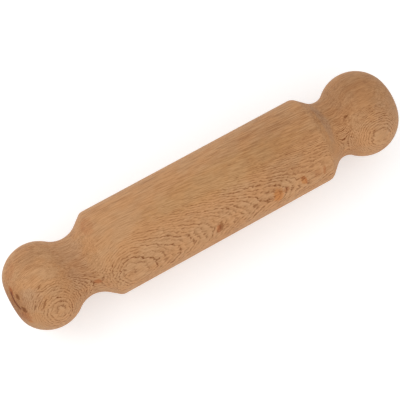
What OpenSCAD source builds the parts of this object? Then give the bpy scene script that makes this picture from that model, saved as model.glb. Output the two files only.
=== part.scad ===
// Solid rolling pin, turned from one length of beech.
// A straight barrel slopes down at each end into a hollow neck, which swells into a ball-shaped knob.
// The pin lies along X with the middle of its length at the origin, and +Z is up.

/* [Barrel] */
// Diameter of the straight barrel that rolls the dough
barrel_d = 45; // [38:0.5:60]
// Length of the straight barrel, from one shoulder to the other
barrel_length = 115; // [60:1:360]
// Radius of the rounded edge where the barrel turns into each shoulder
shoulder_r = 3.8; // [1:0.2:10]

/* [Necks] */
// Diameter of both necks at the bottom of their hollows
neck_d = 30.9; // [18:0.1:36]
// Slope of the left shoulder, in degrees from the axis
left_slope = 38.8; // [30:0.1:60]
// Radius of the hollow in the left neck
left_hollow_r = 12.2; // [6:0.1:20]
// Slope of the right shoulder, in degrees from the axis
right_slope = 41.6; // [30:0.1:60]
// Radius of the hollow in the right neck
right_hollow_r = 8.1; // [6:0.1:20]

/* [Knobs] */
// Largest diameter of each knob
knob_d = 43.7; // [36:0.1:60]
// Radius of the curve that the side of each knob follows
knob_curve_r = 17.4; // [16.4:0.1:24]
// Distance from the widest place on each knob out to its sanded end
knob_reach = 16.4; // [15:0.1:17.4]
// Radius of the curve that rounds each knob into the flat on its end
end_round_r = 13; // [6:0.1:15]

/* [Hidden] */

// Largest angle between two neighbouring points on a curve of the outline, in degrees
curve_step = 3;
// Sides of the circle that the outline is turned through
turned_sides = 180;

// Direction from one place on the outline to another, in degrees up from the axis
function direction(from, to) = atan2(to.y - from.y, to.x - from.x);

// Points on a curve about a centre, from one direction to another
function curve(centre, radius, from, to) =
    let (steps = ceil(abs(to - from) / curve_step))
    [for (i = [0 : steps])
        let (angle = from + (to - from) * i / steps)
        centre + radius * [cos(angle), sin(angle)]];

// Length of the straight slope between the rounded edge of the barrel and the hollow of the neck
function slope_length(slope, hollow_r) =
    let (drop = (barrel_d - neck_d) / 2)
    (drop - (shoulder_r + hollow_r) * (1 - cos(slope))) / sin(slope);

// Centre of the hollow, as [distance out from the barrel, distance from the axis]
function hollow_centre(slope, hollow_r) =
    [(shoulder_r + hollow_r) * sin(slope) + slope_length(slope, hollow_r) * cos(slope),
     neck_d / 2 + hollow_r];

// Centre of the curve of the knob, which touches the curve of the hollow
function knob_centre(hollow, hollow_r) =
    let (r = knob_d / 2 - knob_curve_r)
    [hollow.x + sqrt((hollow_r + knob_curve_r) ^ 2 - (hollow.y - r) ^ 2), r];

// Centre of the curve at the end, which touches the curve of the knob and the flat
function end_centre(knob) =
    let (along = knob_reach - end_round_r)
    knob + [along, sqrt((knob_curve_r - end_round_r) ^ 2 - along ^ 2)];

// Outline of one end of the pin, from the edge of the barrel out to the rim of the flat
function end_outline(slope, hollow_r) =
    let (
        shoulder = [0, barrel_d / 2 - shoulder_r],
        hollow = hollow_centre(slope, hollow_r),
        knob = knob_centre(hollow, hollow_r),
        end = end_centre(knob),
        into_knob = direction(hollow, knob),
        into_end = direction(knob, end)
    )
    concat(
        curve(shoulder, shoulder_r, 90, 90 - slope),
        curve(hollow, hollow_r, -90 - slope, into_knob),
        curve(knob, knob_curve_r, into_knob + 180, into_end),
        curve(end, end_round_r, into_end, 0)
    );

left_outline = end_outline(left_slope, left_hollow_r);
right_outline = end_outline(right_slope, right_hollow_r);
left_length = left_outline[len(left_outline) - 1].x;
right_length = right_outline[len(right_outline) - 1].x;
overall_length = left_length + barrel_length + right_length;

// Places along the axis where the straight barrel starts and ends
barrel_left = left_length - overall_length / 2;
barrel_right = barrel_left + barrel_length;

// The whole pin is one piece of wood, from the flat on one knob to the flat on the other
module rolling_pin() {
    left = [for (i = [len(left_outline) - 1 : -1 : 0])
        [left_outline[i].y, barrel_left - left_outline[i].x]];
    right = [for (place = right_outline) [place.y, barrel_right + place.x]];
    flats = [[0, overall_length / 2], [0, -overall_length / 2]];
    color([0.72, 0.53, 0.37])
        rotate([0, 90, 0])
            rotate_extrude($fn = turned_sides)
                polygon(concat(left, right, flats));
}

rolling_pin();
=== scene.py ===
"""A turned beech rolling pin on a white table, seen from above.

Lengths are millimetres up to the point where a mesh, a lamp or the camera is placed, which is in metres.
The pin lies along X, +Z is up and the table is under the barrel.
A place on the pin is given along it and round it, as the angle in degrees from +Z towards -Y.
"""

import math

import bpy
from mathutils import Matrix, Vector


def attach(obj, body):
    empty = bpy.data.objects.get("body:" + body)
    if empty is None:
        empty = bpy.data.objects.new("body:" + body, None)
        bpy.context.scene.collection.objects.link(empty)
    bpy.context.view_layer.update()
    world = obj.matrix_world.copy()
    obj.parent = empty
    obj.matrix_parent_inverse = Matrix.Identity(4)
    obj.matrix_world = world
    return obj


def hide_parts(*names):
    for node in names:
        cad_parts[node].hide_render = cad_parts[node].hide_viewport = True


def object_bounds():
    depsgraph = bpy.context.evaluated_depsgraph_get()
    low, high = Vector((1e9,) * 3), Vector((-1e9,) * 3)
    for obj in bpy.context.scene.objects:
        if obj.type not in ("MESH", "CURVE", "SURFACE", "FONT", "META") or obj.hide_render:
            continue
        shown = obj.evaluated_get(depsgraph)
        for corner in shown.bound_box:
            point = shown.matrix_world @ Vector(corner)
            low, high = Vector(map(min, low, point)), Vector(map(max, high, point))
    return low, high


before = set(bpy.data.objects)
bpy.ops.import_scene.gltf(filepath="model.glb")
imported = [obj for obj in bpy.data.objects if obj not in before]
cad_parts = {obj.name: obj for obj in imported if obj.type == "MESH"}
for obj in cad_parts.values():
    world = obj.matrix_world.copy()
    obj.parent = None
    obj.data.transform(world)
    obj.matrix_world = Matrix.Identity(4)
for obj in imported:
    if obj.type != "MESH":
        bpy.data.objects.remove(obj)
cad_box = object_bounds()

# Millimetres to metres
MM = 0.001

# Sizes of the turned outline, as in the part's source
BARREL_D = 45.0
BARREL_LENGTH = 115.0
SHOULDER_R = 3.8
NECK_D = 30.9
LEFT_SLOPE = 38.8
LEFT_HOLLOW_R = 12.2
RIGHT_SLOPE = 41.6
RIGHT_HOLLOW_R = 8.1
KNOB_D = 43.7
KNOB_CURVE_R = 17.4
KNOB_REACH = 16.4
END_ROUND_R = 13.0

# The lathe's mesh: the angle between points of the outline, the length between rings and the sides
OUTLINE_STEP = 1.0
RING_SPACING = 0.4
TURNED_SIDES = 160

# What sanding and the turning tool left on the surface
UNEVENNESS = 0.05
UNEVENNESS_SIZE = 14.0
RIDGE_HEIGHT = 0.012
RIDGE_SPACING = 2.4
TURNING_SEED = 4.0

# Below, a fade is the values where it starts and ends, then its results there, if they aren't 0 and 1.
# A cell is the length of a noise's waves, in the wood along the grain, towards the bark and round the pith.

# The nick across the end of the left knob: a straight groove, as the (y, z) of its middle seen from the end,
# its tilt, its size and the length of its tapered ends. It has run out at a place along the pin.
NICK_MIDDLE = (-3.2, 15.1)
NICK_TILT = 9.5
NICK_HALF_LENGTH = 5.4
NICK_TAPER = 1.5
NICK_HALF_WIDTH = 0.75
NICK_FLOOR_HALF_WIDTH = 0.1
NICK_DEPTH = 0.18
NICK_WAVINESS = 0.8
NICK_CELL = (4.0, 4.0, 4.0)
NICK_RUN_OUT = -97.0
NICK_RUN_OUT_LENGTH = 1.0
# The nick's colour is partly a stain and partly painted shade in the groove.
NICK_COLOUR = (0.40, 0.17, 0.03, 1.0)
NICK_STAIN_AND_SHADE = 0.95

# The growth layers of the log that the pin was cut from.
# The bark side is at this angle round the pin, and the layers bend round a pith outside the pin.
FLAT_FACE_ANGLE = 54.0
PITH_DISTANCE = 200.0
LAYER_THICKNESS = 0.76

# How the layers lie along the pin: the depth of the axis in the log, counted towards the bark, their slope
# at the right end, and the bends, each as its place, half its length and the turn of the slope.
# The bends fade from the flat-sawn face, where they are full, to a share of that on the far side of the axis.
LOG_DEPTH = -47.4
RIGHT_END_SLOPE = -0.03
LOG_BENDS = {
    "left neck": (-76.8, 6.9, -0.88),
    "left shoulder": (-57.2, 4.0, 1.78),
    "left end of the barrel": (-52.0, 6.4, -1.42),
    "right half of the barrel": (38.8, 30.0, 0.20),
}
BENDS_FADE = (-4.0, 16.0, 0.25, 1.0)

# Small swells that lift the layers: the place along and round the pin, the radius and the height.
# An eye is the round figure that the layers leave where they are cut flat.
SWELLS = {
    "small eye right of the middle": (9.0, 56.0, 5.0, 0.35),
    "eye round the orange fleck": (30.0, 56.0, 11.0, 0.9),
    "small eye by the right shoulder": (52.0, 56.0, 5.0, 0.3),
    "rings on the right knob": (95.0, 79.0, 16.0, 1.3),
}

# Between these depths the layers have their full thickness, and beyond both they get thinner, on the pith
# side by a share of the thinning. Deeper than the reach below that side, they have it all again.
BARK_SIDE = -6.7
PITH_SIDE = -25.0
THINNING = 0.08
PITH_SIDE_SHARE = 0.5
THINNING_REACH = 38.0

# How far the layers stray from even ones, in long, middling and short waves
WANDER = 0.6
WANDER_CELL = (26.0, 22.0, 15.0)
SWIRL = 1.4
SWIRL_CELL = (7.0, 5.0, 4.0)
JAG = 1.0
JAG_CELL = (1.7, 2.0, 0.8)
JAG_ROUGHNESS = 0.55
GROWTH_SEED = 1.0

# One layer from its start at 0 to its end at 1: the pale early wood, then the dark line of late wood.
# A layer's line has at least this strength, and it is broken into dashes.
EARLY_WOOD = (0.0, 0.5, 1.0, 0.0)
LATE_WOOD_RISE = (0.50, 0.80)
LATE_WOOD_FALL = (0.92, 1.0, 1.0, 0.0)
LEAST_LINE = 0.5
BROKEN_CELL = (1.9, 0.8, 1.1)
BROKEN_FADE = (0.40, 0.54, 0.2, 1.0)

# The rays: their height along the grain, their depth towards the pith and their spacing, then their size
# as a share of that, which varies from ray to ray, the solid part of it, and the least strength
RAY_HEIGHT = 2.6
RAY_DEPTH = 9.0
RAY_SPACING = 0.9
RAY_SIZE = 0.36
RAY_LEAST_SIZE = 0.45
RAY_SIZE_SPREAD = 0.7
RAY_SOLID_PART = 0.55
RAY_LEAST_STRENGTH = 0.2

# The fibres' streaks, and the pores, which are this many times finer
FIBRE_LENGTH = 6.0
FIBRE_WIDTH = 0.60
FIBRE_ROUGHNESS = 0.6
PORES_FINER = 2.1
PORE_FADE = (0.56, 0.70)

# Broad clouds of lighter and darker, and of warmer and cooler, wood
PATCH_CELL = (30.0, 12.0, 14.0)
BAND_CELL = (9.0, 1.3, 4.0)
WARMTH_CELL = (9.0, 6.0, 6.0)
WARMTH_FADE = (0.35, 0.65)
EVEN_SPREAD = (0.3, 0.7, -0.5, 0.5)

# How each feature changes from where the layers are cut across, at 0, to where they lie flat, at 1
RAYS_BY_FLATNESS = (0.2, 0.8, 0.3, 1.0)
LINES_BY_FLATNESS = (0.55, 0.98, 0.35, 1.08)
STREAKS_BY_FLATNESS = (0.1, 0.8, 1.0, 0.7)
BANDS_BY_FLATNESS = (0.3, 0.8, 1.0, 0.4)

# Where the end grain shows, by how much the surface faces along the grain, and where the necks are painted
# darker as shade, by the distance from the axis. The ends of the knobs are as near to it, so their place
# leaves them out.
END_GRAIN_FADE = (0.55, 0.95)
NECK_SHADE_FADE = (15.5, 19.0, 1.0, 0.0)
NECK_SHADE_LIMIT_FADE = (90.0, 95.0, 1.0, 0.0)

# How much each feature of the wood, and the painted shade in the necks, darkens or lightens it, on a scale
# from dark at 0 to pale at 1
MIDDLE_TONE = 0.5
LINE_DARKER = 0.40
RAY_DARKER = 0.12
PORE_DARKER = 0.09
EARLY_LIGHTER = 0.09
STREAK_CHANGE = 0.33
PATCH_CHANGE = 0.05
BAND_CHANGE = 0.09
END_GRAIN_DARKER = 0.10
# the painted shade in the hollows of the necks
NECK_PAINTED_SHADE = 0.06

# The colours of the wood on that scale, and the tints that its colour is multiplied by
BEECH_DARK = (0.190, 0.050, 0.006, 1.0)
BEECH_MIDDLE = (0.534, 0.278, 0.121, 1.0)
BEECH_PALE = (0.740, 0.415, 0.205, 1.0)
COOLER = (0.990, 1.025, 1.090, 1.0)
WARMER = (1.010, 0.980, 0.960, 1.0)

# The sanded surface: how matt it is, and how far the lines and pores sink into it
WOOD_ROUGHNESS = 0.62
RAY_ROUGHNESS = 0.50
WOOD_SPECULAR = 0.22
HOLLOW_DEPTH = 0.5
GRAIN_RELIEF = 0.04
GRAIN_RELIEF_STRENGTH = 0.35

# Where the grain is fainter or stronger: the place along and round the pin, the radius and the change
GRAIN_PATCHES = {
    "front of the left knob, by its end": (-97.0, 48.0, 13.0, -0.5),
    "top of the left knob": (-88.0, -8.0, 16.0, 0.3),
    "eye on the right knob": (88.0, 54.0, 5.0, -0.8),
    "eye on the left knob": (-85.5, 56.0, 3.5, -0.7),
    "front of the left slope": (-60.0, 40.0, 9.0, 0.3),
    "front of the right neck": (67.0, 44.0, 9.0, -0.4),
    "where the right knob begins": (74.0, 20.0, 10.0, 0.8),
    "far side of the right knob": (86.0, -32.0, 26.0, -0.6),
    "right end of the barrel": (46.0, 36.0, 20.0, -0.25),
    "right shoulder": (57.0, 52.0, 7.0, -0.55),
    "left end of the barrel": (-48.0, 20.0, 16.0, -0.2),
    "eye at the left end of the barrel": (-48.0, 56.0, 4.0, -0.6),
    "rings on the right knob": (88.0, 60.0, 16.0, -0.15),
    "top of the barrel on the right": (36.0, -12.0, 16.0, -0.25),
}

# Broad changes of the tone, most of them painted light and shade: the tops on the left and the near part of
# the left knob's top are painted lighter, the far sides, the far part of the left knob's top, the left neck
# and the top of the barrel on the right are painted darker, as light from the near left would fall, and the
# left end, the right neck and the right shoulder are the wood's own tone. Each is the place along and round
# the pin, the radius of the patch and the change
PAINTED_LIGHT_AND_TONE_PATCHES = {
    "top of the barrel on the left": (-48.8, -12.0, 32.0, 0.045),
    "top of the left knob": (-86.0, -9.0, 16.0, 0.040),
    "left end": (-103.0, 20.0, 12.0, -0.17),
    "far side of the left knob": (-88.0, -42.0, 14.0, -0.10),
    "left neck": (-70.0, 0.0, 16.0, -0.05),
    "near part of the left knob's top": (-88.0, 6.0, 12.0, 0.05),
    "far part of the left knob's top": (-89.0, -22.0, 12.0, -0.045),
    "far side of the right knob": (86.0, -26.0, 26.0, -0.19),
    "top of the barrel on the right": (38.0, -18.0, 34.0, -0.08),
    "right neck": (67.0, 20.0, 16.0, 0.05),
    "right shoulder": (58.0, 0.0, 8.0, -0.07),
}

# Marks on the wood, with grey shade painted in the necks and on the right knob among them: the place along
# and round the pin, the size along, round and into it, the turn of the mark in the surface, the tint that the
# wood's colour is multiplied by, and how strong it is
DARK_MARK = (0.42, 0.25, 0.10, 1.0)
RED_MARK = (0.76, 0.47, 0.30, 1.0)
ORANGE_MARK = (0.98, 0.70, 0.38, 1.0)
# a grey tint on the left knob, and painted grey shade in the necks and on the shaded side of the right knob
GREY_TINT_AND_SHADE = (0.86, 0.97, 1.25, 1.0)
YELLOW_MARK = (0.965, 0.965, 0.890, 1.0)
MARKS = {
    "red patch high on the left end": (-101.1, -5.5, 1.8, 5.5, 6.0, 0.0, RED_MARK, 0.90),
    "lower dark spot on the left end": (-99.8, 30.0, 2.2, 4.5, 6.0, -10.0, DARK_MARK, 0.80),
    "upper dark spot on the left end": (-99.5, 8.4, 1.6, 4.0, 6.0, 0.0, DARK_MARK, 0.80),
    "red stain low on the left end": (-100.7, 43.0, 6.0, 7.0, 9.0, 0.0, RED_MARK, 0.40),
    "orange fleck low on the left end": (-100.2, 55.4, 2.4, 2.6, 5.0, 0.0, ORANGE_MARK, 0.70),
    "faint red all over the left end": (-101.5, 14.0, 12.0, 30.0, 30.0, 0.0, RED_MARK, 0.15),
    "red on the far side of the left knob": (-98.0, -33.0, 8.0, 12.0, 9.0, 20.0, RED_MARK, 0.30),
    "grey on the left knob": (-94.5, 20.0, 13.0, 14.0, 12.0, 0.0, GREY_TINT_AND_SHADE, 0.35),
    "first slash on the left knob": (-90.2, 32.8, 7.4, 1.0, 4.0, -44.0, DARK_MARK, 0.60),
    "second slash on the left knob": (-94.7, 31.8, 4.4, 0.9, 4.0, -49.0, DARK_MARK, 0.65),
    "short slash above them": (-88.4, 10.6, 2.9, 0.9, 4.0, -28.0, DARK_MARK, 0.60),
    "short slash beside it": (-93.2, 17.6, 2.6, 0.8, 4.0, -34.0, DARK_MARK, 0.50),
    "faint slash the other way": (-89.3, 16.4, 6.4, 0.7, 4.0, 22.0, DARK_MARK, 0.32),
    "red on the far side of the left shoulder": (-57.0, -31.0, 8.0, 13.0, 10.0, 0.0, RED_MARK, 0.35),
    "red fleck at the foot of the left slope": (-64.3, 50.4, 5.0, 3.6, 8.0, 0.0, RED_MARK, 0.75),
    "dark dot in the left neck": (-68.3, 30.6, 1.6, 1.5, 4.0, 0.0, DARK_MARK, 0.50),
    "grey shade painted in the left neck": (-70.0, 0.0, 16.0, 50.0, 14.0, 0.0, GREY_TINT_AND_SHADE, 0.25),
    "dark fleck at the middle of the barrel": (-1.2, 56.2, 2.7, 8.0, 6.0, 14.0, DARK_MARK, 0.70),
    "red beside that fleck": (-2.8, 57.2, 3.0, 6.5, 6.0, 16.0, RED_MARK, 0.75),
    "orange fleck": (30.0, 56.7, 6.6, 9.5, 7.0, 10.0, ORANGE_MARK, 0.80),
    "red in the orange fleck": (34.6, 55.0, 4.0, 4.0, 5.0, 0.0, RED_MARK, 0.50),
    "second orange fleck": (44.3, 56.0, 3.4, 8.0, 6.0, -8.0, ORANGE_MARK, 0.65),
    "red in the second fleck": (45.2, 56.2, 1.5, 6.0, 5.0, -8.0, RED_MARK, 0.50),
    "faint red by the right shoulder": (51.9, 56.2, 4.6, 6.5, 6.0, 8.0, RED_MARK, 0.25),
    "red fleck by the right shoulder": (55.6, 57.0, 2.0, 6.5, 6.0, 8.0, RED_MARK, 0.60),
    "yellow along the top of the barrel": (10.0, -2.0, 100.0, 18.0, 20.0, 0.0, YELLOW_MARK, 1.0),
    "grey shade painted at the foot of the right slope": (66.4, -4.0, 6.0, 34.0, 9.0, 0.0, GREY_TINT_AND_SHADE, 0.55),
    "grey shade painted on the right knob": (95.0, 32.0, 18.0, 26.0, 16.0, 0.0, GREY_TINT_AND_SHADE, 0.25),
    "dark dot where the right knob begins": (76.9, 5.6, 2.8, 1.3, 4.0, 8.0, DARK_MARK, 0.75),
}

# The edge of a mark, by the distance from its middle, and how ragged that edge is
MARK_FADE = (0.55, 1.05, 1.0, 0.0)
MARK_RAGGEDNESS = 1.2
MARK_CELL = (1.4, 0.7, 0.7)

# The studio, in metres and watts. The lift is the light that brings the table up to white for the camera.
WHITE = (1.0, 1.0, 1.0, 1.0)
TABLE_COLOUR = (0.92, 0.92, 0.92, 1.0)
TABLE_LIFT = 0.34
TABLE_SIZE = 3.0
WORLD_LIGHT = 0.70
LAMP_SIZE = 0.35
FRONT_LAMP_PLACE = (0.0, -0.41, 0.19)
FRONT_LAMP_POWER = 0.46
BACK_LAMP_PLACE = (-0.225, 0.225, 0.318)
BACK_LAMP_POWER = 0.51

# The camera of the photograph: its place in metres, the directions to its right, up and behind it,
# the nearest thing that it sees in metres, and its lens and sensor in millimetres
CAMERA_PLACE = Vector((-0.04872, -0.08263, 0.40636))
CAMERA_RIGHT = Vector((0.8728, -0.4882, 0.0))
CAMERA_UP = Vector((0.4755, 0.8500, 0.2269))
CAMERA_BACK = Vector((-0.1108, -0.1980, 0.9739))
CAMERA_NEAREST = 0.01
CAMERA_LENS = 76.5
CAMERA_SENSOR = 36.0


# The outline: arcs and straight slopes, worked out as the part's source does


def heading(start, end):
    """The direction from one point to another, in degrees."""
    return math.degrees(math.atan2(end[1] - start[1], end[0] - start[0]))


def arc(centre, radius, start, end):
    """Points round an arc from one direction to another, no more than OUTLINE_STEP apart."""
    steps = max(1, math.ceil(abs(end - start) / OUTLINE_STEP))
    angles = [math.radians(start + (end - start) * step / steps) for step in range(steps + 1)]
    return [(centre[0] + radius * math.cos(a), centre[1] + radius * math.sin(a)) for a in angles]


def end_outline(slope, hollow_r):
    """One end of the pin as (distance from the barrel, radius), from the shoulder to the flat on the knob."""
    sine = math.sin(math.radians(slope))
    cosine = math.cos(math.radians(slope))
    drop = (BARREL_D - NECK_D) / 2
    slope_length = (drop - (SHOULDER_R + hollow_r) * (1 - cosine)) / sine
    shoulder = (0.0, BARREL_D / 2 - SHOULDER_R)
    hollow = ((SHOULDER_R + hollow_r) * sine + slope_length * cosine, NECK_D / 2 + hollow_r)
    knob_height = KNOB_D / 2 - KNOB_CURVE_R
    reach = math.sqrt((hollow_r + KNOB_CURVE_R) ** 2 - (hollow[1] - knob_height) ** 2)
    knob = (hollow[0] + reach, knob_height)
    along = KNOB_REACH - END_ROUND_R
    rise = math.sqrt((KNOB_CURVE_R - END_ROUND_R) ** 2 - along ** 2)
    rounding = (knob[0] + along, knob[1] + rise)
    into_knob = heading(hollow, knob)
    into_end = heading(knob, rounding)
    return (
        arc(shoulder, SHOULDER_R, 90, 90 - slope)
        + arc(hollow, hollow_r, -90 - slope, into_knob)
        + arc(knob, KNOB_CURVE_R, into_knob + 180, into_end)
        + arc(rounding, END_ROUND_R, into_end, 0)
    )


def pin_outline():
    """The whole outline from the left flat to the right flat, with the middle of the length at 0."""
    left = end_outline(LEFT_SLOPE, LEFT_HOLLOW_R)
    right = end_outline(RIGHT_SLOPE, RIGHT_HOLLOW_R)
    half_length = (left[-1][0] + BARREL_LENGTH + right[-1][0]) / 2
    barrel_left = left[-1][0] - half_length
    barrel_right = barrel_left + BARREL_LENGTH
    from_left = [(barrel_left - x, r) for x, r in reversed(left)]
    from_right = [(barrel_right + x, r) for x, r in right]
    return from_left + from_right


OUTLINE = pin_outline()


def radius_at(along):
    """The outline's radius at a place along the pin."""
    for (x, r), (next_x, next_r) in zip(OUTLINE, OUTLINE[1:]):
        if x <= along <= next_x and next_x > x:
            return r + (next_r - r) * (along - x) / (next_x - x)
    raise ValueError("outside the pin")


def face_place(along, angle):
    """A place on the surface as the log's Face: along the pin, across the flat-sawn face and out of it."""
    turn = math.radians(FLAT_FACE_ANGLE - angle)
    radius = radius_at(along)
    return Vector((along, radius * math.sin(turn), radius * math.cos(turn)))


# Short calls for node trees

NUMBER = "NodeSocketFloat"
VECTOR = "NodeSocketVector"


def feed(tree, socket, value):
    """Links a socket to another one, or sets it to a plain value."""
    if isinstance(value, bpy.types.NodeSocket):
        tree.links.new(value, socket)
    else:
        socket.default_value = value


def add(tree, kind, inputs, **settings):
    """A new node with its settings made and its inputs fed, by name or by number."""
    made = tree.nodes.new(kind)
    for name, value in settings.items():
        setattr(made, name, value)
    for name, value in inputs.items():
        feed(tree, made.inputs[name], value)
    return made


def sums(tree, operation, *values):
    """The result of a Math node."""
    made = add(tree, "ShaderNodeMath", dict(enumerate(values)), operation=operation)
    return made.outputs[0]


def vector_sums(tree, operation, *values):
    """The result of a Vector Math node."""
    made = add(tree, "ShaderNodeVectorMath", dict(enumerate(values)), operation=operation)
    return made.outputs["Value" if operation in ("LENGTH", "DOT_PRODUCT", "DISTANCE") else "Vector"]


def scaled(tree, vector, factor):
    """A vector times a number."""
    made = add(tree, "ShaderNodeVectorMath", {0: vector, "Scale": factor}, operation="SCALE")
    return made.outputs["Vector"]


def joined(tree, x, y=0.0, z=0.0):
    """A vector from three numbers."""
    return add(tree, "ShaderNodeCombineXYZ", {"X": x, "Y": y, "Z": z}).outputs["Vector"]


def parted(tree, vector):
    """The three numbers of a vector, by their names X, Y and Z."""
    return add(tree, "ShaderNodeSeparateXYZ", {0: vector}).outputs


def turned(tree, x, y, sine, cosine):
    """A point in a plane, as how far it lies along and above a line through 0 with this sine and cosine."""
    along = sums(tree, "ADD", sums(tree, "MULTIPLY", x, cosine), sums(tree, "MULTIPLY", y, sine))
    above = sums(tree, "SUBTRACT", sums(tree, "MULTIPLY", y, cosine), sums(tree, "MULTIPLY", x, sine))
    return along, above


def fade(tree, value, start, end, low=0.0, high=1.0):
    """A smooth change from low to high as a value goes from start to end."""
    inputs = {"Value": value, "From Min": start, "From Max": end, "To Min": low, "To Max": high}
    return add(tree, "ShaderNodeMapRange", inputs, interpolation_type="SMOOTHSTEP").outputs["Result"]


def mixed(tree, amount, first, second, how="MIX"):
    """Two colours mixed."""
    made = add(tree, "ShaderNodeMix", {0: amount, 6: first, 7: second}, data_type="RGBA", blend_type=how)
    return made.outputs[2]


def cloud(tree, place, cell, shift, detail=2.0, roughness=0.5):
    """A noise from 0 to 1 at a place, with the middle at 0.5 and waves about as long as the cell.

    The shift picks another part of the noise, and the detail is how many finer layers of waves it has.
    """
    cells = vector_sums(tree, "DIVIDE", place, cell)
    inputs = {"Vector": cells, "W": shift, "Scale": 1.0, "Detail": detail, "Roughness": roughness}
    return add(tree, "ShaderNodeTexNoise", inputs, noise_dimensions="4D").outputs["Fac"]


def waves(tree, place, cell, shift, detail=2.0, roughness=0.5):
    """The same noise from -0.5 to 0.5."""
    return sums(tree, "SUBTRACT", cloud(tree, place, cell, shift, detail, roughness), 0.5)


def new_group(name, inputs, outputs):
    """An empty shader node group with named sockets: its tree, what it takes in and what it gives out."""
    tree = bpy.data.node_groups.new(name, "ShaderNodeTree")
    for label, kind, start in inputs:
        socket = tree.interface.new_socket(label, in_out="INPUT", socket_type=kind)
        socket.default_value = start
    for label, kind in outputs:
        tree.interface.new_socket(label, in_out="OUTPUT", socket_type=kind)
    taken = tree.nodes.new("NodeGroupInput").outputs
    given = tree.nodes.new("NodeGroupOutput").inputs
    return tree, taken, given


def group_node(tree, group, inputs):
    """A group placed in a tree, with some inputs fed and the others left at their start values."""
    made = tree.nodes.new("ShaderNodeGroup")
    made.node_tree = group
    for name, value in inputs.items():
        feed(tree, made.inputs[name], value)
    return made.outputs


# The place in the log


def bend_sum(tree, along):
    """How far the bends lift the layers. To the right of them it is nothing, and each turns the slope."""
    total = 0.0
    for place, half_length, turn in LOG_BENDS.values():
        past = sums(tree, "SUBTRACT", along, place)
        square = sums(tree, "MULTIPLY_ADD", past, past, half_length ** 2)
        both = sums(tree, "SUBTRACT", sums(tree, "SQRT", square), past)
        total = sums(tree, "MULTIPLY_ADD", both, turn / 2, total)
    return total


def patch_sum(tree, face, patches):
    """The sum of round patches, each full in its middle and nothing at its radius."""
    total = 0.0
    for along, angle, radius, height in patches.values():
        distance = vector_sums(tree, "DISTANCE", face, face_place(along, angle))
        total = sums(tree, "ADD", fade(tree, distance, 0.0, radius, height, 0.0), total)
    return total


def log_place_group():
    """Turns a place on the pin into one in the log: along the grain, towards the bark and round the pith.

    Face is the same place with the flat-sawn face upwards: along the pin, across that face and out of it.
    """
    inputs = [
        ("Position", VECTOR, (0, 0, 0)),
        ("Flat Face Angle", NUMBER, FLAT_FACE_ANGLE),
        ("Pith Distance", NUMBER, PITH_DISTANCE),
    ]
    tree, taken, given = new_group("Place in the log", inputs, [("Place", VECTOR), ("Face", VECTOR)])
    split = parted(tree, taken["Position"])
    angle = sums(tree, "RADIANS", taken["Flat Face Angle"])
    sine = sums(tree, "SINE", angle)
    cosine = sums(tree, "COSINE", angle)
    sideways, outward = turned(tree, split["Y"], split["Z"], sine, cosine)
    to_pith = sums(tree, "SUBTRACT", taken["Pith Distance"], outward)
    radius = vector_sums(tree, "LENGTH", joined(tree, to_pith, sideways))
    around = sums(tree, "MULTIPLY", sums(tree, "ARCTAN2", sideways, to_pith), taken["Pith Distance"])
    face = joined(tree, split["X"], sideways, outward)
    depth = sums(tree, "SUBTRACT", taken["Pith Distance"], radius)
    depth = sums(tree, "ADD", depth, sums(tree, "MULTIPLY_ADD", split["X"], RIGHT_END_SLOPE, LOG_DEPTH))
    share = fade(tree, outward, *BENDS_FADE)
    depth = sums(tree, "MULTIPLY_ADD", bend_sum(tree, split["X"]), share, depth)
    depth = sums(tree, "ADD", depth, patch_sum(tree, face, SWELLS))
    feed(tree, given["Place"], joined(tree, split["X"], depth, around))
    feed(tree, given["Face"], face)
    return tree


# The growth layers, the rays and the fibres


def thinned(tree, taken, depth):
    """The depth counted so that the layers get thinner towards the bark and towards the pith."""
    outer = sums(tree, "MAXIMUM", sums(tree, "SUBTRACT", depth, taken["Bark Side"]), 0.0)
    inner = sums(tree, "MINIMUM", sums(tree, "SUBTRACT", depth, taken["Pith Side"]), 0.0)
    inner = sums(tree, "MAXIMUM", inner, sums(tree, "MULTIPLY", taken["Thinning Reach"], -1.0))
    depth = sums(tree, "MULTIPLY_ADD", sums(tree, "MULTIPLY", outer, outer), taken["Thinning"], depth)
    inner_extra = sums(tree, "MULTIPLY", inner, sums(tree, "ABSOLUTE", inner))
    inner_thinning = sums(tree, "MULTIPLY", taken["Thinning"], PITH_SIDE_SHARE)
    return sums(tree, "MULTIPLY_ADD", inner_extra, inner_thinning, depth)


def strayed(tree, taken, depth):
    """The depth with the waves of the layers added: long ones, swirls and the small jags of beech."""
    place = taken["Place"]
    wander = waves(tree, place, WANDER_CELL, shift=3.1)
    swirl = waves(tree, place, SWIRL_CELL, shift=taken["Seed"], detail=1.0)
    jag = waves(tree, place, JAG_CELL, shift=7.4, roughness=JAG_ROUGHNESS)
    for noise, amount in ((wander, "Wander"), (swirl, "Swirl"), (jag, "Jag")):
        depth = sums(tree, "MULTIPLY_ADD", noise, taken[amount], depth)
    return depth


def layer_strength(tree, number):
    """How strong one layer's line is: each layer has its own, from the least to 1."""
    own = add(tree, "ShaderNodeTexWhiteNoise", {"W": number}, noise_dimensions="1D").outputs["Value"]
    return sums(tree, "MULTIPLY_ADD", own, 1 - LEAST_LINE, LEAST_LINE)


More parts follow.
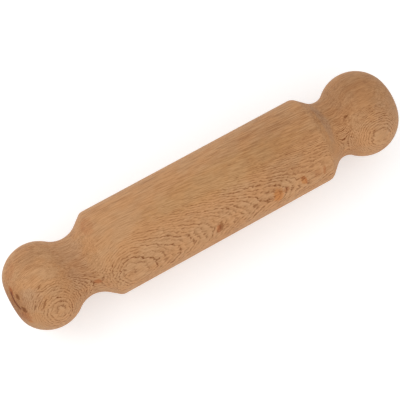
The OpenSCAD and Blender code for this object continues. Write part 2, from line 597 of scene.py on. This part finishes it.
def growth_group():
    """The growth layers: a thin darker line at the end of each, jagged and broken as beech's are."""
    inputs = [
        ("Place", VECTOR, (0, 0, 0)),
        ("Thickness", NUMBER, LAYER_THICKNESS),
        ("Bark Side", NUMBER, BARK_SIDE),
        ("Pith Side", NUMBER, PITH_SIDE),
        ("Thinning", NUMBER, THINNING),
        ("Thinning Reach", NUMBER, THINNING_REACH),
        ("Wander", NUMBER, WANDER),
        ("Swirl", NUMBER, SWIRL),
        ("Jag", NUMBER, JAG),
        ("Seed", NUMBER, GROWTH_SEED),
    ]
    tree, taken, given = new_group("Growth layers", inputs, [("Line", NUMBER), ("Early", NUMBER)])
    place = taken["Place"]
    depth = strayed(tree, taken, thinned(tree, taken, parted(tree, place)["Y"]))
    layers = sums(tree, "DIVIDE", depth, taken["Thickness"])
    strength = layer_strength(tree, sums(tree, "FLOOR", layers))
    part = sums(tree, "FRACT", layers)
    late = sums(tree, "MULTIPLY", fade(tree, part, *LATE_WOOD_RISE), fade(tree, part, *LATE_WOOD_FALL))
    kept = fade(tree, cloud(tree, place, BROKEN_CELL, shift=1.7, detail=1.0), *BROKEN_FADE)
    feed(tree, given["Line"], sums(tree, "MULTIPLY", late, sums(tree, "MULTIPLY", strength, kept)))
    feed(tree, given["Early"], sums(tree, "MULTIPLY", fade(tree, part, *EARLY_WOOD), kept))
    return tree


def ray_group():
    """The rays of beech: thin plates that stand across the layers, seen as dashes, flecks or lines."""
    inputs = [
        ("Place", VECTOR, (0, 0, 0)),
        ("Height", NUMBER, RAY_HEIGHT),
        ("Depth", NUMBER, RAY_DEPTH),
        ("Spacing", NUMBER, RAY_SPACING),
        ("Size", NUMBER, RAY_SIZE),
    ]
    tree, taken, given = new_group("Rays", inputs, [("Ray", NUMBER)])
    lengths = joined(tree, taken["Height"], taken["Depth"], taken["Spacing"])
    cells = vector_sums(tree, "DIVIDE", taken["Place"], lengths)
    found = add(tree, "ShaderNodeTexVoronoi", {"Vector": cells, "Scale": 1.0, "Randomness": 1.0}).outputs
    luck = add(tree, "ShaderNodeSeparateColor", {0: found["Color"]}).outputs[0]
    share = sums(tree, "MULTIPLY_ADD", luck, RAY_SIZE_SPREAD, RAY_LEAST_SIZE)
    size = sums(tree, "MULTIPLY", taken["Size"], share)
    solid = sums(tree, "MULTIPLY", size, RAY_SOLID_PART)
    square = sums(tree, "MULTIPLY", luck, luck)
    strength = sums(tree, "MULTIPLY_ADD", square, 1 - RAY_LEAST_STRENGTH, RAY_LEAST_STRENGTH)
    ray = fade(tree, found["Distance"], solid, size, 1.0, 0.0)
    feed(tree, given["Ray"], sums(tree, "MULTIPLY", ray, strength))
    return tree


def fibre_group():
    """Fine streaks along the grain, from the fibres and the small pores."""
    inputs = [
        ("Place", VECTOR, (0, 0, 0)),
        ("Length", NUMBER, FIBRE_LENGTH),
        ("Width", NUMBER, FIBRE_WIDTH),
    ]
    tree, taken, given = new_group("Fibres", inputs, [("Streak", NUMBER), ("Pore", NUMBER)])
    place = taken["Place"]
    cell = joined(tree, taken["Length"], taken["Width"], taken["Width"])
    streak = cloud(tree, place, cell, shift=5.3, detail=3.0, roughness=FIBRE_ROUGHNESS)
    feed(tree, given["Streak"], fade(tree, streak, *EVEN_SPREAD))
    pore = cloud(tree, scaled(tree, place, PORES_FINER), cell, shift=2.2, detail=1.0)
    feed(tree, given["Pore"], fade(tree, pore, *PORE_FADE))
    return tree


# Where on the pin a place is


def flatness(tree):
    """How flat the layers lie in the surface: 1 where it is cut along them, 0 where it is cut across."""
    angle = math.radians(FLAT_FACE_ANGLE)
    outward = (0.0, -math.sin(angle), math.cos(angle))
    normal = tree.nodes.new("ShaderNodeTexCoord").outputs["Normal"]
    return sums(tree, "ABSOLUTE", vector_sums(tree, "DOT_PRODUCT", normal, outward))


def end_grain(tree):
    """How much of the end grain shows: 0 along the pin's side, 1 where the surface faces along the grain."""
    normal = tree.nodes.new("ShaderNodeTexCoord").outputs["Normal"]
    return fade(tree, sums(tree, "ABSOLUTE", parted(tree, normal)["X"]), *END_GRAIN_FADE)


def in_neck_shade(tree, position):
    """How deep in the hollow of a neck a place is, where the painted shade goes: 1 at the bottom of the
    hollows, 0 outside them.
    """
    split = parted(tree, position)
    radius = vector_sums(tree, "LENGTH", joined(tree, split["Y"], split["Z"]))
    limit = fade(tree, sums(tree, "ABSOLUTE", split["X"]), *NECK_SHADE_LIMIT_FADE)
    return sums(tree, "MULTIPLY", limit, fade(tree, radius, *NECK_SHADE_FADE))


def in_nick(tree, position):
    """How deep in the nick on the left knob a place in millimetres is: 1 along its line, 0 outside it."""
    split = parted(tree, position)
    tilt = math.radians(NICK_TILT)
    y = sums(tree, "SUBTRACT", split["Y"], NICK_MIDDLE[0])
    z = sums(tree, "SUBTRACT", split["Z"], NICK_MIDDLE[1])
    along, above = turned(tree, y, z, math.sin(tilt), math.cos(tilt))
    wave = waves(tree, position, NICK_CELL, shift=8.1)
    away = sums(tree, "ABSOLUTE", sums(tree, "MULTIPLY_ADD", wave, NICK_WAVINESS, above))
    inside = fade(tree, away, NICK_FLOOR_HALF_WIDTH, NICK_HALF_WIDTH, 1.0, 0.0)
    taper_start = NICK_HALF_LENGTH - NICK_TAPER
    length = fade(tree, sums(tree, "ABSOLUTE", along), taper_start, NICK_HALF_LENGTH, 1.0, 0.0)
    left = fade(tree, split["X"], NICK_RUN_OUT - NICK_RUN_OUT_LENGTH, NICK_RUN_OUT, 1.0, 0.0)
    return sums(tree, "MULTIPLY", sums(tree, "MULTIPLY", inside, length), left)


def in_mark(tree, face, ragged, along, angle, size, turn):
    """How far inside one mark a place is: 1 in its middle, 0 outside it, with a ragged edge."""
    offset = vector_sums(tree, "SUBTRACT", face, face_place(along, angle))
    to_level = {"Vector": offset, "Angle": math.radians(FLAT_FACE_ANGLE - angle)}
    level = add(tree, "ShaderNodeVectorRotate", to_level, rotation_type="X_AXIS").outputs[0]
    to_line = {"Vector": level, "Angle": math.radians(turn)}
    lined_up = add(tree, "ShaderNodeVectorRotate", to_line, rotation_type="Z_AXIS").outputs[0]
    half_size = tuple(side / 2 for side in size)
    distance = vector_sums(tree, "LENGTH", vector_sums(tree, "DIVIDE", lined_up, half_size))
    return fade(tree, sums(tree, "MULTIPLY_ADD", ragged, MARK_RAGGEDNESS, distance), *MARK_FADE)


# The wood's colour and surface


def grain_tones(tree, log, growth, ray, fibres):
    """What the lines, rays, fibres, pores and bands do to the tone, each a value and how much it counts."""
    flat = flatness(tree)
    clearness = sums(tree, "ADD", patch_sum(tree, log["Face"], GRAIN_PATCHES), 1.0)
    line = sums(tree, "MULTIPLY", growth["Line"], fade(tree, flat, *LINES_BY_FLATNESS))
    streak_share = sums(tree, "MULTIPLY", clearness, fade(tree, flat, *STREAKS_BY_FLATNESS))
    band = fade(tree, cloud(tree, log["Place"], BAND_CELL, shift=4.4), *EVEN_SPREAD)
    return [
        (sums(tree, "MULTIPLY", line, clearness), -LINE_DARKER),
        (growth["Early"], EARLY_LIGHTER),
        (sums(tree, "MULTIPLY", ray, fade(tree, flat, *RAYS_BY_FLATNESS)), -RAY_DARKER),
        (sums(tree, "MULTIPLY", fibres["Streak"], streak_share), STREAK_CHANGE),
        (fibres["Pore"], -PORE_DARKER),
        (sums(tree, "MULTIPLY", band, fade(tree, flat, *BANDS_BY_FLATNESS)), BAND_CHANGE),
    ]


def broad_tones(tree, log, position):
    """What changes the tone over wider parts of the pin, each a value and how much it counts, with the
    painted shade in the necks and the painted light and shade of the tone patches among them.
    """
    patch = cloud(tree, log["Place"], PATCH_CELL, shift=9.0, detail=3.0)
    return [
        (fade(tree, patch, *EVEN_SPREAD), PATCH_CHANGE),
        (end_grain(tree), -END_GRAIN_DARKER),
        (in_neck_shade(tree, position), -NECK_PAINTED_SHADE),
        (patch_sum(tree, log["Face"], PAINTED_LIGHT_AND_TONE_PATCHES), 1.0),
    ]


def wood_tone(tree, parts):
    """Adds the changes up from the middle tone."""
    tone = MIDDLE_TONE
    for value, amount in parts:
        tone = sums(tree, "MULTIPLY_ADD", value, amount, tone)
    return tone


def beech_colour(tree, tone):
    """The colour of the wood at a tone from 0 to 1."""
    ramp = tree.nodes.new("ShaderNodeValToRGB")
    ramp.color_ramp.elements[0].color = BEECH_DARK
    ramp.color_ramp.elements[1].color = BEECH_PALE
    ramp.color_ramp.elements.new(MIDDLE_TONE).color = BEECH_MIDDLE
    feed(tree, ramp.inputs["Fac"], tone)
    return ramp.outputs["Color"]


def tinted(tree, face, position, colour):
    """The wood's colour with its warmer and cooler parts, its marks, some of them painted grey shade, and the
    nick's dark colour, partly a stain and partly painted shade in its groove.
    """
    warmth = fade(tree, cloud(tree, face, WARMTH_CELL, shift=6.6), *WARMTH_FADE)
    colour = mixed(tree, 1.0, colour, mixed(tree, warmth, COOLER, WARMER), "MULTIPLY")
    ragged = waves(tree, face, MARK_CELL, shift=0.0)
    for along, angle, length, width, deep, turn, tint, strength in MARKS.values():
        inside = in_mark(tree, face, ragged, along, angle, (length, width, deep), turn)
        colour = mixed(tree, sums(tree, "MULTIPLY", inside, strength), colour, tint, "MULTIPLY")
    # the dark in the nick: partly a stain, partly painted shade in the groove
    stain = sums(tree, "MULTIPLY", in_nick(tree, position), NICK_STAIN_AND_SHADE)
    return mixed(tree, stain, colour, NICK_COLOUR, "MULTIPLY")


def sanded_surface(tree, shader, line, ray, pore):
    """Sets how matt the wood is, and sinks its late-wood lines and pores a little."""
    feed(tree, shader.inputs["Roughness"], fade(tree, ray, 0.0, 1.0, WOOD_ROUGHNESS, RAY_ROUGHNESS))
    shader.inputs["Specular IOR Level"].default_value = WOOD_SPECULAR
    hollows = sums(tree, "ADD", line, pore)
    height = sums(tree, "SUBTRACT", 1.0, sums(tree, "MULTIPLY", hollows, HOLLOW_DEPTH))
    relief = {"Height": height, "Strength": GRAIN_RELIEF_STRENGTH, "Distance": GRAIN_RELIEF * MM}
    feed(tree, shader.inputs["Normal"], add(tree, "ShaderNodeBump", relief).outputs["Normal"])


def beech_material():
    """Bare sanded beech, with the log's layers, rays and fibres all through it."""
    material = bpy.data.materials.new("beech")
    material.use_nodes = True
    tree = material.node_tree
    shader = tree.nodes["Principled BSDF"]
    position = scaled(tree, tree.nodes.new("ShaderNodeTexCoord").outputs["Object"], 1 / MM)
    log = group_node(tree, log_place_group(), {"Position": position})
    growth = group_node(tree, growth_group(), {"Place": log["Place"]})
    ray = group_node(tree, ray_group(), {"Place": log["Place"]})["Ray"]
    fibres = group_node(tree, fibre_group(), {"Place": log["Place"]})
    tones = grain_tones(tree, log, growth, ray, fibres) + broad_tones(tree, log, position)
    colour = beech_colour(tree, wood_tone(tree, tones))
    feed(tree, shader.inputs["Base Color"], tinted(tree, log["Face"], position, colour))
    sanded_surface(tree, shader, growth["Line"], ray, fibres["Pore"])
    return material


# The pin's mesh, turned by Geometry Nodes

TURNING_INPUTS = [
    ("Ring Spacing", NUMBER, RING_SPACING * MM),
    ("Sides", "NodeSocketInt", TURNED_SIDES),
    ("Unevenness", NUMBER, UNEVENNESS * MM),
    ("Unevenness Size", NUMBER, UNEVENNESS_SIZE * MM),
    ("Ridge Height", NUMBER, RIDGE_HEIGHT * MM),
    ("Ridge Spacing", NUMBER, RIDGE_SPACING * MM),
    ("Nick Depth", NUMBER, NICK_DEPTH * MM),
    ("Seed", NUMBER, TURNING_SEED),
    ("Wood", "NodeSocketMaterial", None),
]


def turning_tree():
    """Turns an outline drawn in the XZ plane about X, with slight unevenness and the ridges of the tool."""
    tree = bpy.data.node_groups.new("Turned wood", "GeometryNodeTree")
    tree.interface.new_socket("Outline", in_out="INPUT", socket_type="NodeSocketGeometry")
    for label, kind, start in TURNING_INPUTS:
        socket = tree.interface.new_socket(label, in_out="INPUT", socket_type=kind)
        if start is not None:
            socket.default_value = start
    tree.interface.new_socket("Turned", in_out="OUTPUT", socket_type="NodeSocketGeometry")
    taken = tree.nodes.new("NodeGroupInput").outputs
    given = tree.nodes.new("NodeGroupOutput").inputs
    solid = lathe(tree, taken)
    wear = {"Geometry": solid, "Offset": turning_marks(tree, taken)}
    worn = add(tree, "GeometryNodeSetPosition", wear).outputs[0]
    smooth = add(tree, "GeometryNodeSetShadeSmooth", {"Geometry": worn}).outputs[0]
    real = add(tree, "GeometryNodeRealizeInstances", {0: smooth}).outputs[0]
    done = add(tree, "GeometryNodeSetMaterial", {"Geometry": real, "Material": taken["Wood"]}).outputs[0]
    feed(tree, given["Turned"], done)
    return tree


def lathe(tree, taken):
    """The outline turned about X: circles along the axis, each as wide as the outline is there."""
    line = add(tree, "GeometryNodeMeshToCurve", {"Mesh": taken["Outline"]}).outputs[0]
    rings = {"Curve": line, "Length": taken["Ring Spacing"]}
    even = add(tree, "GeometryNodeResampleCurve", rings, mode="LENGTH").outputs[0]
    place = parted(tree, tree.nodes.new("GeometryNodeInputPosition").outputs[0])
    sized = add(tree, "GeometryNodeSetCurveRadius", {"Curve": even, "Radius": place["Z"]}).outputs[0]
    on_axis = {"Geometry": sized, "Position": joined(tree, place["X"])}
    axis = add(tree, "GeometryNodeSetPosition", on_axis).outputs[0]
    sides = {"Resolution": taken["Sides"], "Radius": 1.0}
    circle = add(tree, "GeometryNodeCurvePrimitiveCircle", sides).outputs[0]
    radius = tree.nodes.new("GeometryNodeInputRadius").outputs[0]
    swept = {"Curve": axis, "Profile Curve": circle, "Scale": radius, "Fill Caps": True}
    return add(tree, "GeometryNodeCurveToMesh", swept).outputs[0]


def turning_marks(tree, taken):
    """How each point moves inwards: unevenness from sanding, faint ridges round the pin and the nick."""
    position = tree.nodes.new("GeometryNodeInputPosition").outputs[0]
    hollows = cloud(tree, position, taken["Unevenness Size"], shift=taken["Seed"])
    turns = sums(tree, "DIVIDE", parted(tree, position)["X"], taken["Ridge Spacing"])
    ridges = sums(tree, "MULTIPLY_ADD", sums(tree, "SINE", sums(tree, "MULTIPLY", turns, math.tau)), 0.5, 0.5)
    groove = in_nick(tree, scaled(tree, position, 1 / MM))
    inward = sums(tree, "MULTIPLY", hollows, taken["Unevenness"])
    inward = sums(tree, "MULTIPLY_ADD", ridges, taken["Ridge Height"], inward)
    inward = sums(tree, "MULTIPLY_ADD", groove, taken["Nick Depth"], inward)
    normal = tree.nodes.new("GeometryNodeInputNormal").outputs[0]
    return scaled(tree, normal, sums(tree, "MULTIPLY", inward, -1.0))


def outline_object():
    """The outline in the XZ plane as a thin line of edges, in metres."""
    points = [(x * MM, 0.0, r * MM) for x, r in OUTLINE]
    edges = [(first, first + 1) for first in range(len(points) - 1)]
    mesh = bpy.data.meshes.new("pin outline")
    mesh.from_pydata(points, edges, [])
    blank = bpy.data.objects.new("pin blank", mesh)
    bpy.context.scene.collection.objects.link(blank)
    return blank


def turned_pin(material):
    """The rolling pin as one plain mesh."""
    blank = outline_object()
    tree = turning_tree()
    turning = blank.modifiers.new("turning", "NODES")
    turning.node_group = tree
    wood = next(item for item in tree.interface.items_tree if item.name == "Wood")
    turning[wood.identifier] = material
    bpy.context.view_layer.update()
    evaluated = blank.evaluated_get(bpy.context.evaluated_depsgraph_get())
    finished = bpy.data.meshes.new_from_object(evaluated)
    blank.modifiers.remove(turning)
    bpy.data.objects.remove(blank)
    pin = bpy.data.objects.new("turned_pin", finished)
    bpy.context.scene.collection.objects.link(pin)
    return pin


# The studio


def seen_rays(tree):
    """1 for what the camera sees, in a reflection or through glass too, and 0 for what only gives light."""
    path = tree.nodes.new("ShaderNodeLightPath").outputs
    mirrored = sums(tree, "MAXIMUM", path["Is Glossy Ray"], path["Is Transmission Ray"])
    return sums(tree, "MAXIMUM", path["Is Camera Ray"], mirrored)


def table_material():
    """A matt white table, brought up to white for the camera where it is lit, so that it keeps the shadow.

    From below it is clear, so that the pin's underside can be seen.
    """
    material = bpy.data.materials.new("white table")
    material.use_nodes = True
    tree = material.node_tree
    tree.nodes.clear()
    matt = add(tree, "ShaderNodeBsdfDiffuse", {"Color": TABLE_COLOUR})
    lift = add(tree, "ShaderNodeEmission", {"Strength": sums(tree, "MULTIPLY", seen_rays(tree), TABLE_LIFT)})
    top = add(tree, "ShaderNodeAddShader", {0: matt.outputs[0], 1: lift.outputs[0]})
    clear = tree.nodes.new("ShaderNodeBsdfTransparent")
    below = tree.nodes.new("ShaderNodeNewGeometry").outputs["Backfacing"]
    both = add(tree, "ShaderNodeMixShader", {0: below, 1: top.outputs[0], 2: clear.outputs[0]})
    end = tree.nodes.new("ShaderNodeOutputMaterial")
    feed(tree, end.inputs["Surface"], both.outputs[0])
    return material


def white_table():
    """A wide flat table under the barrel."""
    mesh = bpy.data.meshes.new("table")
    half = TABLE_SIZE / 2
    height = cad_box[0][2]
    corners = [(-half, -half, height), (half, -half, height), (half, half, height), (-half, half, height)]
    mesh.from_pydata(corners, [], [(0, 1, 2, 3)])
    mesh.materials.append(table_material())
    table = bpy.data.objects.new("table", mesh)
    bpy.context.scene.collection.objects.link(table)


def soft_world():
    """Even white light from all round, and plain white for the camera."""
    world = bpy.data.worlds.new("studio")
    world.use_nodes = True
    bpy.context.scene.world = world
    tree = world.node_tree
    strength = fade(tree, seen_rays(tree), 0.0, 1.0, WORLD_LIGHT, 1.0)
    background = tree.nodes["Background"]
    background.inputs["Color"].default_value = WHITE
    feed(tree, background.inputs["Strength"], strength)


def area_lamp(name, place, watts):
    """A square soft lamp that faces the pin."""
    lamp = bpy.data.lights.new(name, "AREA")
    lamp.size = LAMP_SIZE
    lamp.energy = watts
    holder = bpy.data.objects.new(name, lamp)
    facing = Vector(place).to_track_quat("Z", "Y").to_matrix().to_4x4()
    holder.matrix_world = Matrix.Translation(place) @ facing
    bpy.context.scene.collection.objects.link(holder)


def photo_camera():
    """The camera where the photograph was taken from."""
    lens = bpy.data.cameras.new("camera")
    lens.lens = CAMERA_LENS
    lens.sensor_width = CAMERA_SENSOR
    lens.sensor_fit = "HORIZONTAL"
    lens.clip_start = CAMERA_NEAREST
    camera = bpy.data.objects.new("camera", lens)
    facing = Matrix((CAMERA_RIGHT, CAMERA_UP, CAMERA_BACK)).transposed().to_4x4()
    camera.matrix_world = Matrix.Translation(CAMERA_PLACE) @ facing
    bpy.context.scene.collection.objects.link(camera)
    bpy.context.scene.camera = camera


pin = turned_pin(beech_material())
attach(pin, "root")
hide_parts("rolling_pin")

white_table()
soft_world()
area_lamp("front box", FRONT_LAMP_PLACE, FRONT_LAMP_POWER)
area_lamp("back box", BACK_LAMP_PLACE, BACK_LAMP_POWER)
photo_camera()
bpy.context.scene.view_settings.view_transform = "Standard"
